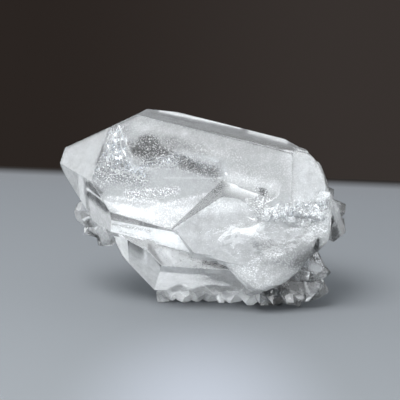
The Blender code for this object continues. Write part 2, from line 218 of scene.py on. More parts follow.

# Strokes of thicker or thinner haze, as seen from the camera's side, which partly paint light and
# shade: strokes that darken paint dark reflections and shade on faces, strokes that whiten partly
# paint bright reflections inside; the rest is real haze and grain. The region, the picture's pixels
# at the start and the end, the half width in pixels, and what they add to the hiding, the whiteness
# and the grain.
STROKES = (
    ("main 0", (136, 150), (154, 151), 6.5, 0.3, -0.6, 0.5),
    ("main 0", (148, 141), (149, 159), 6.0, 0.2, -0.4, 0.3),
    ("main 0", (156, 148), (164, 153), 4.5, 0.3, -0.5, 0.45),
    ("main 0", (143, 140), (153, 141), 4.5, 0.2, -0.55, 0.4),
    ("main 0", (134, 150), (141, 150), 4.0, 0.2, -0.3, 0.0),
    ("main 0", (164, 153), (186, 159), 3.0, 0.2, -0.5, 0.4),
    ("main 0", (186, 164), (214, 173), 6.0, 0.35, -0.65, 0.5),
    ("main 0", (185, 163), (197, 167), 4.0, 0.1, -0.35, 0.0),
    ("main 0", (124, 212), (200, 213), 10.0, 0.4, 0.22, 0.12),
    ("main 0", (130, 195), (172, 192), 4.0, 0.2, 0.15, 0.6),
    ("main 0", (124, 192), (178, 189), 2.2, 0.12, 0.12, 0.3),
    ("main 0", (108, 197), (160, 203), 1.8, 0.2, 0.25, 0.2),
    ("main 0", (150, 209), (206, 195), 2.2, 0.2, 0.2, 0.2),
    ("main 0", (168, 140), (200, 150), 6.0, 0.0, -0.12, 0.1),
    ("main 0", (200, 150), (236, 156), 5.0, 0.1, 0.08, 0.05),
    ("main 0", (232, 150), (252, 178), 5.0, 0.0, -0.05, 0.05),
    ("main 0", (106, 203), (150, 216), 4.0, 0.3, 0.2, 0.05),
    ("main 0", (114, 150), (100, 182), 6.0, 0.1, -0.2, 0.4),
    ("main 0", (190, 142), (240, 148), 9.0, 0.1, -0.02, 0.0),
    ("main 0", (140, 128), (185, 134), 6.0, 0.15, 0.1, 0.0),
    ("main 0", (200, 140), (285, 152), 12.0, 0.15, -0.05, 0.0),
    ("main 0", (240, 168), (288, 172), 14.0, 0.2, -0.1, 0.05),
    ("main 0", (286, 146), (240, 132), 3.0, 0.2, 0.2, 0.0),
    ("main 0", (293, 152), (293, 186), 8.0, 0.12, 0.12, 0.0),
    ("main 0", (232, 177), (272, 187), 7.0, 0.25, 0.15, 0.05),
    ("main 0", (95, 172), (140, 178), 7.0, 0.0, -0.3, 0.7),
    ("main 0", (145, 163), (183, 163), 4.0, 0.1, -0.3, 0.5),
    ("main 0", (117, 132), (120, 166), 9.0, -0.25, 0.0, 0.1),
    ("main 0", (103, 148), (96, 166), 2.4, 0.25, -0.7, 0.2),
    ("main 6", (105, 144), (97, 164), 2.0, 0.2, -0.6, 0.1),
    ("main 6", (65, 147), (104, 129), 2.4, 0.5, -1.0, 0.0),
    ("main 0", (100, 131), (147, 109), 3.4, 0.6, -0.86, 0.0),
    ("main 0", (147, 110), (150, 112), 2.0, 0.3, -0.6, 0.0),
    ("main 0", (165, 178), (222, 178), 0.8, 0.12, 0.1, 0.0),
    ("main 0", (155, 221), (176, 226), 4.0, 0.3, 0.3, 0.2),
    ("main 5", (140, 233), (178, 240), 6.0, 0.2, 0.2, 0.1),
    ("main 5", (113, 224), (150, 231), 1.5, 0.0, -0.3, 0.3),
    ("main 5", (120, 231), (160, 243), 1.0, 0.0, -0.25, 0.3),
    ("main 5", (162, 246), (186, 252), 2.0, 0.0, -0.2, 0.1),
    ("main 11", (64, 158), (84, 200), 9.0, 0.1, 0.15, 0.0),
    ("main 11", (89, 184), (101, 196), 2.8, 0.5, -1.0, 0.1),
    ("main 11", (90, 194), (107, 209), 3.6, 0.5, -1.0, 0.1),
    ("main 0", (94, 186), (101, 193), 2.4, 0.4, -0.9, 0.1),
    ("main 11", (88, 189), (108, 204), 1.1, 0.5, 1.2, 0.0),
    ("main 1", (160, 111), (240, 128), 1.6, 0.5, 0.5, 0.0),
    ("main 1", (250, 132), (286, 142), 2.5, 0.4, 0.4, 0.0),
    ("main 1", (150, 113), (200, 124), 1.0, 0.2, -0.3, 0.0),
    ("main 1", (176, 127), (236, 137), 1.3, 0.2, -0.25, 0.0),
    ("lower 11", (131, 240), (141, 248), 8.0, 0.1, -0.8, 0.0),
    ("lower 11", (147, 245), (162, 266), 1.9, 0.5, -1.0, 0.0),
    ("lower 11", (128, 240), (128, 262), 1.2, 0.1, -0.3, 0.0),
    ("lower 11", (145, 244), (146, 262), 1.8, 0.2, 0.3, 0.0),
    ("lower 0", (149, 246), (161, 265), 3.0, 0.6, -1.2, 0.0),
    ("lower 0", (170, 252), (222, 267), 4.5, 0.25, -0.1, 0.0),
    ("lower 0", (180, 253), (222, 266), 2.0, 0.3, -0.4, 0.0),
    ("lower 0", (204, 263), (226, 268), 3.0, 0.4, -0.7, 0.0),
    ("lower 0", (166, 251), (174, 262), 3.0, 0.15, 0.15, 0.0),
    ("lower 5", (202, 275), (228, 290), 8.0, 0.0, -0.35, 0.1),
    ("front 0", (173, 229), (222, 184), 2.5, 0.2, 0.3, 0.0),
    ("front 0", (200, 208), (222, 205), 7.0, 0.15, 0.2, 0.1),
    ("front 0", (217, 208), (242, 207), 4.5, 0.15, 0.3, 0.1),
    ("front 7", (216, 192), (226, 184), 4.5, 0.2, -0.25, 0.2),
    ("front 1", (223, 185), (227, 186), 3.0, 0.3, -0.3, 0.1),
    ("front 1", (236, 182), (268, 192), 12.0, 0.5, 1.0, 0.0),
    ("feet", (160, 294), (170, 297), 6.0, -0.1, -0.35, 0.0),
    ("feet", (228, 300), (275, 301), 6.0, 0.15, 0.2, 0.0),
    ("feet", (176, 292), (189, 303), 6.0, 0.3, 0.6, 0.0),
    ("feet", (194, 298), (217, 299), 5.0, 0.1, -0.2, 0.0),
    ("feet", (221, 299), (222, 300), 2.5, 0.6, 0.5, 0.0),
    ("splinters", (304, 268), (324, 276), 6.0, -0.1, 0.7, 0.0),
    ("splinters", (306, 283), (314, 289), 5.0, 0.35, 0.65, 0.0),
    ("splinters", (286, 288), (300, 285), 5.0, 0.4, -0.6, 0.0),
    ("splinters", (300, 272), (308, 279), 1.5, 0.5, -0.8, 0.0),
    ("splinters", (303, 281), (305, 295), 1.8, 0.5, -0.8, 0.0),
    ("mass", (306, 236), (311, 234), 2.0, 0.3, 0.4, 0.0),
    ("band", (262, 204), (330, 214), 16.0, 0.0, -0.1, 0.45),
    ("mass", (262, 206), (334, 222), 12.0, 0.3, 0.2, 0.35),
    ("mass", (236, 238), (310, 246), 26.0, 0.1, 0.03, 0.03),
    ("mass", (236, 226), (300, 232), 3.0, 0.1, 0.12, 0.1),
    ("mass", (232, 248), (268, 244), 3.0, 0.1, -0.15, 0.1),
    ("mass", (276, 262), (304, 268), 3.0, 0.1, -0.15, 0.1),
    ("mass", (248, 262), (282, 254), 3.0, 0.1, 0.15, 0.1),
    ("mass", (262, 250), (306, 244), 17.0, 0.1, -0.25, 0.05),
    ("mass", (292, 262), (316, 256), 9.0, 0.0, -0.15, 0.05),
    ("mass", (232, 238), (252, 226), 12.0, 0.2, 0.18, 0.0),
    ("mass", (228, 264), (262, 280), 10.0, 0.2, 0.15, 0.15),
    ("mass", (300, 160), (312, 178), 9.0, 0.1, -0.1, 0.0),
    ("bud", (92, 228), (108, 246), 7.0, 0.1, -0.35, 0.05),
    ("bud", (87, 220), (99, 240), 1.5, 0.3, -0.6, 0.0),
    ("crust", (338, 224), (344, 238), 4.0, 0.2, -0.2, 0.0),
    ("mass", (318, 240), (316, 248), 2.5, 0.2, -0.8, 0.0),
    ("mass", (299, 262), (318, 252), 6.0, 0.0, -0.35, 0.0),
    ("mass", (226, 266), (246, 286), 0.9, 0.4, 0.4, 0.0),
    ("mass", (259, 190), (270, 197), 3.0, 0.0, -0.5, 0.8),
)
# The grain that every face has before the strokes add to it.
BASE_GRAIN = 0.06

# Painted glow, where the haze gives off light of its own in place of light reflected inside the
# crystals: region, pixels at the start and end, half width, share.
PAINTED_GLOWS = (
    ("main 5", (122, 232), (178, 240), 12.0, 0.55),
    ("main 5", (140, 233), (172, 238), 5.0, 0.5),
    ("lower cut", (118, 238), (122, 258), 9.0, 0.9),
    ("main 0", (128, 214), (196, 217), 7.0, 0.08),
    ("lower 0", (176, 272), (190, 275), 6.0, 0.3),
    ("front 1", (238, 184), (262, 190), 9.0, 0.1),
    ("band", (268, 205), (328, 210), 14.0, 0.15),
    ("mass", (268, 210), (328, 214), 10.0, 0.15),
    ("feet", (177, 292), (189, 303), 5.0, 0.15),
    ("main 1", (160, 111), (240, 128), 1.6, 0.9),
    ("main 1", (248, 131), (286, 141), 2.5, 0.7),
)
PAINTED_GLOW_TONE = (0.3, 0.305, 0.31, 1.0)
NO_LIGHT = (0.0, 0.0, 0.0, 1.0)

# The haze's tones, the dark one also serving as painted shade and painted dark reflections, and its
# noises: the range of the cloud noise that goes from thin to thick, and the range of the grain noise
# that goes from clearer to whiter, by these amounts.
DARK_HAZE_AND_SHADE = (0.02, 0.021, 0.022, 1.0)
WHITE_HAZE = (0.985, 0.988, 0.99, 1.0)
HAZE_ROUGHNESS = 0.8
CLOUD_RANGE = (0.35, 0.65)
GRAIN_SCALE = 3000.0
SPECK_RANGE = (0.5, 0.62)
SPECK_AMOUNTS = (-0.35, 0.8)
# Cloud scale and thinnest share of the haze in the mass, the cracks and the faden, and of the
# haze under the surface.
INNER_HAZE = (260.0, 0.7)
SURFACE_HAZE = (500.0, 0.8)
# The sockets of the haze's shader node group.
HAZE_INPUTS = (
    ("Place", "NodeSocketVector"),
    ("Milkiness", "NodeSocketFloat"),
    ("Whiteness", "NodeSocketFloat"),
    ("Grain", "NodeSocketFloat"),
    ("Gleam", "NodeSocketFloat"),
    ("Cloud Scale", "NodeSocketFloat"),
    ("Thinnest", "NodeSocketFloat"),
)
HAZE_OUTPUTS = (
    ("Color", "NodeSocketColor"),
    ("Alpha", "NodeSocketFloat"),
    ("Painted Glow", "NodeSocketColor"),
)

# The milky cloud in the mass: how far inside it lies, its haze, and its mesh.
CLOUD_INSET = 1.3
CLOUD_LOOK = {"milkiness": 0.75, "whiteness": 0.6}
CLOUD_RINGS = 70
CLOUD_COLUMNS = 140

# Every thread: its rings and their corners, how far it wanders in millimetres, how much its
# rings swell, and its haze.
THREAD_RINGS = 90
THREAD_CORNERS = 10
THREAD_WANDER = 0.1
THREAD_SWELL = (0.5, 1.5)
THREAD_LOOK = {"milkiness": 0.9, "whiteness": 0.9}

# The faden: a thin milky thread, by the picture's pixels along it, a little under the big face.
FADEN_PATH = (
    (97, 165), (112, 170), (126, 173), (140, 178), (152, 168), (163, 168),
    (172, 165), (180, 167), (190, 158), (204, 160), (226, 165),
)
FADEN_DEPTH = 1.4
FADEN_RADIUS = 0.22

# Fine white cracks under the surface: the picture's pixels along each, its depth and its radius.
CRACKS = (
    (((112, 128), (105, 146), (98, 165)), 0.3, 0.12),
    (((114, 128), (110, 148), (104, 168)), 0.4, 0.11),
    (((117, 127), (116, 146), (111, 166)), 0.5, 0.12),
    (((119, 128), (121, 146), (123, 164)), 0.4, 0.11),
    (((121, 129), (127, 146), (134, 160)), 0.3, 0.12),
    (((96, 170), (108, 175), (124, 172), (141, 179)), 0.5, 0.12),
    (((100, 176), (114, 170), (128, 178)), 0.4, 0.1),
    (((145, 163), (158, 160), (172, 166), (184, 160)), 0.4, 0.1),
    (((126, 142), (128, 150), (132, 158)), 0.5, 0.09),
    (((112, 128), (107, 140), (101, 152), (98, 163)), 0.4, 0.07),
    (((121, 128), (124, 138), (130, 150), (139, 162)), 0.5, 0.08),
    (((104, 146), (112, 152), (122, 155), (134, 160)), 0.8, 0.07),
    (((132, 160), (146, 162), (158, 158), (170, 160)), 0.9, 0.07),
    (((140, 170), (152, 165), (166, 164), (178, 158)), 1.2, 0.08),
    (((186, 157), (198, 159), (210, 163), (226, 166)), 0.5, 0.12),
    (((150, 190), (164, 187), (178, 188)), 0.4, 0.1),
    (((128, 193), (142, 190), (160, 192)), 0.4, 0.06),
    (((222, 182), (226, 178), (224, 172)), 0.4, 0.08),
    (((104, 199), (120, 202), (140, 203)), 0.3, 0.06),
    (((118, 190), (132, 188), (150, 189)), 0.3, 0.05),
    (((136, 196), (150, 194), (172, 197)), 0.3, 0.05),
    (((160, 203), (175, 201), (196, 204)), 0.3, 0.05),
    (((183, 271), (199, 283), (215, 294)), 0.3, 0.05),
    (((128, 240), (128, 250), (129, 261)), 0.2, 0.05),
    (((173, 229), (180, 238), (190, 252)), 0.3, 0.06),
    (((232, 219), (243, 216), (257, 221)), 0.3, 0.07),
    (((196, 222), (206, 214), (218, 210)), 0.5, 0.05),
    (((162, 277), (157, 285), (152, 289)), 0.3, 0.05),
    (((226, 265), (235, 276), (244, 284)), 0.3, 0.07),
    (((88, 188), (98, 196), (108, 204)), 0.3, 0.1),
    (((112, 213), (130, 217), (150, 223), (172, 230)), 0.3, 0.08),
    (((113, 232), (127, 236), (150, 240), (165, 245)), 0.3, 0.08),
)

# Crumpled fractures: name, the face they lie under or the surface, four corners in the picture's
# pixels (top left, top right, bottom right, bottom left), depth, crumple, rows and columns.
FRACTURES = (
    ("tip_fracture", "main 0", ((110, 127), (122, 126), (134, 160), (104, 160)), 0.9, 0.5, 10, 18),
    ("side_fracture", "main 0", ((108, 144), (118, 142), (146, 178), (94, 170)), 1.6, 0.8, 20, 30),
    ("middle_fracture", "main 0", ((134, 160), (180, 154), (186, 165), (140, 176)), 1.3, 0.6, 14, 40),
    ("end_fracture", "main 0", ((183, 155), (212, 158), (228, 169), (188, 170)), 1.2, 0.5, 13, 32),
    ("riser_fracture", "main 0", ((212, 160), (226, 162), (230, 176), (218, 180)), 0.8, 0.5, 8, 8),
    ("band_fracture", "surface", ((268, 200), (329, 192), (331, 225), (262, 220)), 0.6, 0.45, 18, 38),
    ("upper_fracture", "surface", ((296, 160), (312, 157), (328, 190), (300, 198)), 0.6, 0.4, 20, 13),
)

# How far a fracture's corners stray in pixels, its thickness in millimetres, the range of a
# random number over which its facets go from unseen to bright, and its mirror.
FRACTURE_STRAY = 0.8
FRACTURE_THICKNESS = 0.04
GLINT_RANGE = (0.25, 0.6)
MIRROR_TINT = (0.93, 0.95, 0.97, 1.0)
MIRROR_ROUGHNESS = 0.05

# The first seeds of the fractures and the cracks, and the faden's seed.
FRACTURE_SEED = 20
CRACK_SEED = 40
FADEN_SEED = 7

# The plane behind the specimen onto which pixels are sent before they are cast back: a side of
# the mass, by its number.
REAR_SIDE = "mass 9"


def in_frame(points):
    """Millimetres from the specimen's middle, as metres in the frame."""
    return (np.asarray(points, float) + MIDDLE) * MM


def unit(vectors):
    """The same directions with length one."""
    vectors = np.asarray(vectors, float)
    return vectors / np.linalg.norm(vectors, axis=-1, keepdims=True)


def crystal_planes(setting, sides, ends, back):
    """Outward normals and distances of a quartz crystal's faces, as the part's source sets them:
    six sides round the axis, six end faces leaning toward the tip, and the plane behind."""
    compass, rise, roll = np.radians(setting)
    axis = np.array(
        (math.cos(rise) * math.cos(compass), math.cos(rise) * math.sin(compass), math.sin(rise))
    )
    viewer = np.array((0.0, -1.0, 0.0))
    front = unit(viewer - axis * viewer.dot(axis))
    turned = front * math.cos(roll) + np.cross(axis, front) * math.sin(roll)
    angles = np.radians(60.0) * np.arange(6)[:, None]
    side = turned * np.cos(angles) + np.cross(axis, turned) * np.sin(angles)
    end = axis * math.cos(RHOMB_LEAN) + side * math.sin(RHOMB_LEAN)
    return np.vstack((side, end, -axis)), np.array((*sides, *ends, back))


def where_seen(points):
    """Pixels of the photograph's 400 by 400 frame at which its camera sees these points."""
    up = points @ VIEW_UP
    near = points @ VIEW_BACK
    scale = PIXELS_ACROSS * CAMERA_LENS / SENSOR_WIDTH / (CAMERA_DISTANCE - near)
    middle = PIXELS_ACROSS / 2
    return np.stack((middle + points[:, 0] * scale, middle - up * scale), -1)


def soft_stroke(seen, start, end, width):
    """exp(-(distance to the line from start to end / width) ** 2) at each place in the picture."""
    along = np.subtract(end, start)
    share = np.clip((seen - start) @ along / along.dot(along), 0.0, 1.0)
    gap = np.linalg.norm(seen - start - share[:, None] * along, axis=1)
    return np.exp(-((gap / width) ** 2))


def smooth_step(low, high, value):
    """0 below low, 1 above high, and a soft S between them: t * t * (3 - 2 * t)."""
    t = np.clip((value - low) / (high - low), 0.0, 1.0)
    return t * t * (3.0 - 2.0 * t)


def add_object(name, data):
    """A new object of this mesh, camera or light in the scene."""
    added = bpy.data.objects.new(name, data)
    bpy.context.scene.collection.objects.link(added)
    return added


def on_cluster(name, mesh):
    """An object of this mesh at the origin, which rides on the cluster."""
    piece = add_object(name, mesh)
    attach(piece, "root")
    return piece


def new_piece(name, points, faces, material, smooth=True, **amounts):
    """A mesh object in the frame that rides on the cluster, with each amount on its vertices."""
    mesh = bpy.data.meshes.new(name)
    mesh.from_pydata(in_frame(points).tolist(), [], faces)
    mesh.polygons.foreach_set("use_smooth", np.full(len(mesh.polygons), smooth))
    for layer_name, amount in amounts.items():
        layer = mesh.attributes.new(layer_name, "FLOAT", "POINT")
        layer.data.foreach_set("value", np.full(len(points), amount, np.float32))
    mesh.materials.append(material)
    mesh.update()
    return on_cluster(name, mesh)


def globe_faces(rows, columns):
    """Faces of a closed surface: rings of points between two poles, which are the last two points."""
    ring = np.arange(rows * columns).reshape(rows, columns)
    here, below = ring[:-1], ring[1:]
    quads = np.stack((here, below, np.roll(below, -1, 1), np.roll(here, -1, 1)), -1)
    top, bottom = rows * columns, rows * columns + 1
    first = np.stack((np.full(columns, top), ring[0], np.roll(ring[0], -1)), -1)
    last = np.stack((np.full(columns, bottom), np.roll(ring[-1], -1), ring[-1]), -1)
    return quads.reshape(-1, 4).tolist() + first.tolist() + last.tolist()


def globe_directions(rows, columns):
    """Directions of the rings and poles of a globe: (sin a cos b, sin a sin b, cos a)."""
    a = (math.pi * (np.arange(rows) + 1) / (rows + 1))[:, None]
    b = (2 * math.pi * np.arange(columns) / columns)[None, :]
    rings = np.stack((np.sin(a) * np.cos(b), np.sin(a) * np.sin(b), np.cos(a) + 0 * b), -1)
    return np.vstack((rings.reshape(-1, 3), ((0.0, 0.0, 1.0), (0.0, 0.0, -1.0))))


def soft_reach(directions, normals, distances, roundness):
    """Reach of a body with flat sides that round into each other:
    (sum over the sides of (cosine / distance) ** roundness) ** (-1 / roundness)."""
    toward = np.maximum(directions @ normals.T, 0.0) / distances
    return np.sum(toward**roundness, axis=1) ** (-1.0 / roundness)


def make_mass_cloud(material):
    """The milky cloud: the soft body of the mass's sides, each drawn in by CLOUD_INSET."""
    directions = globe_directions(CLOUD_RINGS, CLOUD_COLUMNS)
    distances = MASS_DISTANCES - CLOUD_INSET
    reach = soft_reach(directions, MASS_NORMALS, distances, MASS_ROUNDNESS)
    points = MASS_CENTRE + directions * reach[:, None]
    faces = globe_faces(CLOUD_RINGS, CLOUD_COLUMNS)
    new_piece("milky_mass", points, faces, material, **CLOUD_LOOK)


def on_mass(points):
    """Whether each point lies on the milky mass's own surface."""
    away = points - MASS_CENTRE
    reach = soft_reach(unit(away), MASS_NORMALS, MASS_DISTANCES, MASS_ROUNDNESS)
    share = np.linalg.norm(away, axis=1) / reach
    return (share > MASS_SURFACE[0]) & (share < MASS_SURFACE[1])


def on_plane(middles, normals, point, outward):
    """Whether each small face of the skin lies on this plane and looks the same way."""
    near = np.abs((middles - point) @ outward) < SKIN_DEPTH + FACE_GAP
    return near & (normals @ outward > FACE_COSINE)


def regions_of(middles, normals):
    """The name of the region that each small face of the skin belongs to."""
    names = np.full(len(middles), "other", dtype=object)
    for name, low, high in reversed(ZONES):
        names[((middles > low) & (middles < high)).all(axis=1)] = name
    names[on_mass(middles)] = "mass"
    for crystal, centre, (outward, distances) in CRYSTALS:
        for number in range(12):
            point = centre + outward[number] * distances[number]
            names[on_plane(middles, normals, point, outward[number])] = f"{crystal} {number}"
    for name, point, outward in ODD_FACES:
        names[on_plane(middles, normals, point, unit(outward))] = name
    return names


def facing(points, triangles):
    """The unit normal of each triangle."""
    corners = points[triangles]
    normals = np.cross(corners[:, 1] - corners[:, 0], corners[:, 2] - corners[:, 0])
    return normals / np.maximum(np.linalg.norm(normals, axis=1, keepdims=True), 1e-12)


def turned_round(rows, first):
    """Each row of three, started from its own first place."""
    return np.take_along_axis(rows, (first[:, None] + np.arange(3)) % 3, axis=1)


def split_once(points, triangles):
    """Halves each edge that is too long: the points and triangles after it, and whether any was.
    A triangle becomes two, three or four. ab is the middle of the edge from a to b, which the
    triangles on both its sides share."""
    ends = np.stack((triangles, np.roll(triangles, -1, axis=1)), -1).reshape(-1, 2)
    edges, which = np.unique(np.sort(ends, axis=1), axis=0, return_inverse=True)
    which = which.reshape(-1)
    seen = np.zeros(len(edges), bool)
    seen[which[np.repeat(facing(points, triangles) @ VIEW_BACK > SHOWN_COSINE, 3)]] = True
    length = np.linalg.norm(points[edges[:, 0]] - points[edges[:, 1]], axis=1)
    long = length > np.where(seen, SKIN_EDGE, SKIN_EDGE_BEHIND)
    number = np.where(long, len(points) - 1 + np.cumsum(long), -1)
    middles = number[which].reshape(-1, 3)
    points = np.vstack((points, points[edges[long]].mean(axis=1)))
    cut = middles >= 0
    whole = triangles[~cut.any(axis=1)]
    one = cut.sum(axis=1) == 1
    first = cut[one].argmax(axis=1)
    a, b, c = turned_round(triangles[one], first).T
    ab, _, _ = turned_round(middles[one], first).T
    halves = [(a, ab, c), (ab, b, c)]
    two = cut.sum(axis=1) == 2
    first = ((~cut[two]).argmax(axis=1) + 1) % 3
    d, e, f = turned_round(triangles[two], first).T
    de, ef, _ = turned_round(middles[two], first).T
    thirds = [(de, e, ef), (d, de, ef), (d, ef, f)]
    three = cut.all(axis=1)
    g, h, i = triangles[three].T
    gh, hi, ig = middles[three].T
    quarters = [(g, gh, ig), (gh, h, hi), (ig, hi, i), (gh, hi, ig)]
    made = [np.stack(rows, -1) for rows in halves + thirds + quarters]
    return points, np.vstack([whole] + made), bool(long.any())


def welded_solid(frame):
    """The model's solid with its corners joined."""
    mesh = bmesh.new()
    mesh.from_mesh(frame["nodes"][NODE].data)
    bmesh.ops.remove_doubles(mesh, verts=mesh.verts[:], dist=WELD_GAP)
    return mesh


def skin_shape(frame):
    """The model's solid in small triangles, drawn in by SKIN_DEPTH along its normals: the mesh,
    its points in millimetres from the middle, and its triangles."""
    mesh = welded_solid(frame)
    bmesh.ops.dissolve_degenerate(mesh, edges=mesh.edges[:], dist=WELD_GAP)
    bmesh.ops.triangulate(mesh, faces=mesh.faces[:])
    points = np.array([vertex.co for vertex in mesh.verts]) / MM - MIDDLE
    triangles = np.array([[vertex.index for vertex in face.verts] for face in mesh.faces])
    mesh.free()
    unfinished = True
    while unfinished:
        points, triangles, unfinished = split_once(points, triangles)
    data = bpy.data.meshes.new("haze_and_painted_light_skin")
    data.from_pydata(in_frame(points).tolist(), [], triangles.tolist())
    outward = np.empty(len(points) * 3)
    data.vertex_normals.foreach_get("vector", outward)
    points -= outward.reshape(-1, 3) * SKIN_DEPTH
    data.vertices.foreach_set("co", in_frame(points).ravel())
    data.update()
    return data, points, triangles


def skin_amounts(places, names):
    """The haze at each corner of the skin: its region's look, plus the strokes and the gleams on that
    region, plus the tone of the block that a loose piece's corner is in. The looks and strokes are
    partly painted shade and painted reflections, and the gleams a painted glow."""
    looks = [REGION_LOOKS.get(name, REGION_LOOKS["other"]) for name in names]
    hiding, white = np.array(looks).T
    grain = np.full(len(names), BASE_GRAIN)
    seen = where_seen(places)
    # The strokes add real haze and also painted shade and painted reflections.
    for region, start, end, width, more_hiding, more_white, more_grain in STROKES:
        share = soft_stroke(seen, start, end, width) * (names == region)
        hiding += more_hiding * share
        white += more_white * share
        grain += more_grain * share
    # The gleam is a painted glow: light of its own on faces that look bright from reflections inside.
    gleam = np.zeros(len(names))
    for region, start, end, width, share in PAINTED_GLOWS:
        gleam += share * soft_stroke(seen, start, end, width) * (names == region)
    loose = np.array([LOOSE_REGIONS.get(name, 0.0) for name in names])
    block = np.floor((places @ BLOCK_AXIS) / BLOCK_LENGTH).astype(int) % len(BLOCK_TONES)
    white += loose * np.array(BLOCK_TONES)[block]
    return {"milkiness": hiding, "whiteness": white, "grain": grain, "gleam": gleam}


def make_haze_skin(frame, material):
    """The thin haze just under the cluster's surface, with its amounts on its corners, which also
    carry painted shade, painted reflections and a painted glow.
    """
    data, points, triangles = skin_shape(frame)
    middles = points[triangles].mean(axis=1)
    names = np.repeat(regions_of(middles, facing(points, triangles)), 3)
    for layer_name, values in skin_amounts(points[triangles.ravel()], names).items():
        layer = data.attributes.new(layer_name, "FLOAT", "CORNER")
        layer.data.foreach_set("value", np.clip(values, 0.0, 1.0).astype(np.float32))
    data.polygons.foreach_set("use_smooth", np.zeros(len(triangles), bool))
    data.materials.append(material)
    on_cluster("haze_and_painted_light_skin", data)


def face_place(region):
    """A point on the plane of that name, and its outward normal."""
    name, number = region.split()
    number = int(number)
    if name == "mass":
        centre, outward, distances = MASS_CENTRE, MASS_NORMALS, MASS_DISTANCES
    else:
        centre, (outward, distances) = {row[0]: row[1:] for row in CRYSTALS}[name]
    return centre + outward[number] * distances[number], outward[number]


def under_face(pixels, region, depth):
    """Points at this depth under a crystal's face, where the camera sees these pixels."""
    middle, normal = face_place(region)
    focal = PIXELS_ACROSS * CAMERA_LENS / SENSOR_WIDTH
    offset = np.subtract(pixels, PIXELS_ACROSS / 2)
    rays = offset[..., :1] * VIEW_RIGHT - offset[..., 1:] * VIEW_UP - focal * VIEW_BACK
    eye = VIEW_BACK * CAMERA_DISTANCE
    height = normal @ middle - depth
    reach = (height - normal @ eye) / (rays @ normal)
    return eye + reach[..., None] * rays


def under_surface(pixels, surface, depth):
    """Points at this depth under the cluster's skin, where the camera sees these pixels."""
    eye = Vector(in_frame(VIEW_BACK * CAMERA_DISTANCE))
    far = under_face(pixels, REAR_SIDE, 0.0).reshape(-1, 3)
    points = []
    for target in in_frame(far):
        hit, normal, _, _ = surface.ray_cast(eye, Vector(target) - eye)
        if hit is None:
            hit, normal, _, _ = surface.find_nearest(Vector(target))
        points.append(np.array(hit - normal * depth * MM) / MM - MIDDLE)
    return np.array(points).reshape((*np.shape(pixels)[:-1], 3))


def thread(name, path, radius, material, seed):
    """A closed tube along a path: path(t) + radius * swell(t) * (cos b * across + sin b * up)."""
    rng = np.random.default_rng(seed)
    rows, columns = THREAD_RINGS, THREAD_CORNERS
    lengths = np.concatenate(([0.0], np.cumsum(np.linalg.norm(np.diff(path, axis=0), axis=1))))
    places = np.linspace(0.0, lengths[-1], rows + 2)
    line = np.stack([np.interp(places, lengths, path[:, axis]) for axis in range(3)], -1)
    line[1:-1] = (line[:-2] + line[1:-1] + line[2:]) / 3.0
    line[1:-1] += rng.normal(0.0, min(THREAD_WANDER, radius), (rows, 3))
    along = unit(np.gradient(line, axis=0))[1:-1]
    across = unit(np.cross(along, VIEW_BACK))
    up = np.cross(across, along)
    turn = (2 * math.pi * np.arange(columns) / columns)[None, :, None]
    swell = (radius * rng.uniform(*THREAD_SWELL, rows))[:, None, None]
    circle = np.cos(turn) * across[:, None] + np.sin(turn) * up[:, None]
    rings = line[1:-1, None, :] + swell * circle
    points = np.vstack((rings.reshape(-1, 3), line[:1], line[-1:]))
    new_piece(name, points, globe_faces(rows, columns), material, **THREAD_LOOK)


def sheet_faces(rows, columns):
    """Faces of a thin closed sheet of two grids: its front, its back and its rim, as arrays."""
    grid = np.arange(rows * columns).reshape(rows, columns)
    quads = np.stack((grid[:-1, :-1], grid[1:, :-1], grid[1:, 1:], grid[:-1, 1:]), -1)
    quads = quads.reshape(-1, 4)
    count = rows * columns
    border = np.concatenate((grid[0, :], grid[1:, -1], grid[-1, -2::-1], grid[-2:0:-1, 0]))
    after = np.roll(border, -1)
    rim = np.stack((border, after, after + count, border + count), -1)
    return quads, quads[:, ::-1] + count, rim


def fracture(name, region, corners, depth, crumple, rows, columns, material, surface, seed):
    """A thin closed sheet crumpled at random under a face, its facets flat so that they glint."""
    rng = np.random.default_rng(seed)
    down = np.linspace(0.0, 1.0, rows)[:, None, None]
    across = np.linspace(0.0, 1.0, columns)[None, :, None]
    top_left, top_right, bottom_right, bottom_left = np.array(corners, float)
    top = top_left + across * (top_right - top_left)
    bottom = bottom_left + across * (bottom_right - bottom_left)
    stray = rng.normal(0.0, FRACTURE_STRAY, (rows, columns, 2))
    pixels = top + down * (bottom - top) + stray
    if region == "surface":
        flat = under_surface(pixels, surface, depth)
        normal = VIEW_BACK
    else:
        flat = under_face(pixels, region, depth)
        _, normal = face_place(region)
    folds = rng.normal(0.0, crumple / 2, (rows, columns, 1)).clip(-depth / 2, depth / 2)
    front = flat + normal * folds
    back = front - normal * FRACTURE_THICKNESS
    points = np.vstack((front.reshape(-1, 3), back.reshape(-1, 3)))
    shown, hidden, rim = sheet_faces(rows, columns)
    faces = np.vstack((shown, hidden, rim)).tolist()
    piece = new_piece(name, points, faces, material, smooth=False)
    glint = np.zeros(len(faces), np.float32)
    glint[: len(shown)] = smooth_step(*GLINT_RANGE, rng.random(len(shown)))
    layer = piece.data.attributes.new("glint", "FLOAT", "FACE")
    layer.data.foreach_set("value", glint)
    return piece


def surface_of(frame):
    """The model's surface, to find places under it."""
    mesh = bmesh.new()
    mesh.from_mesh(frame["nodes"][NODE].data)
    surface = BVHTree.FromBMesh(mesh)
    mesh.free()
    return surface


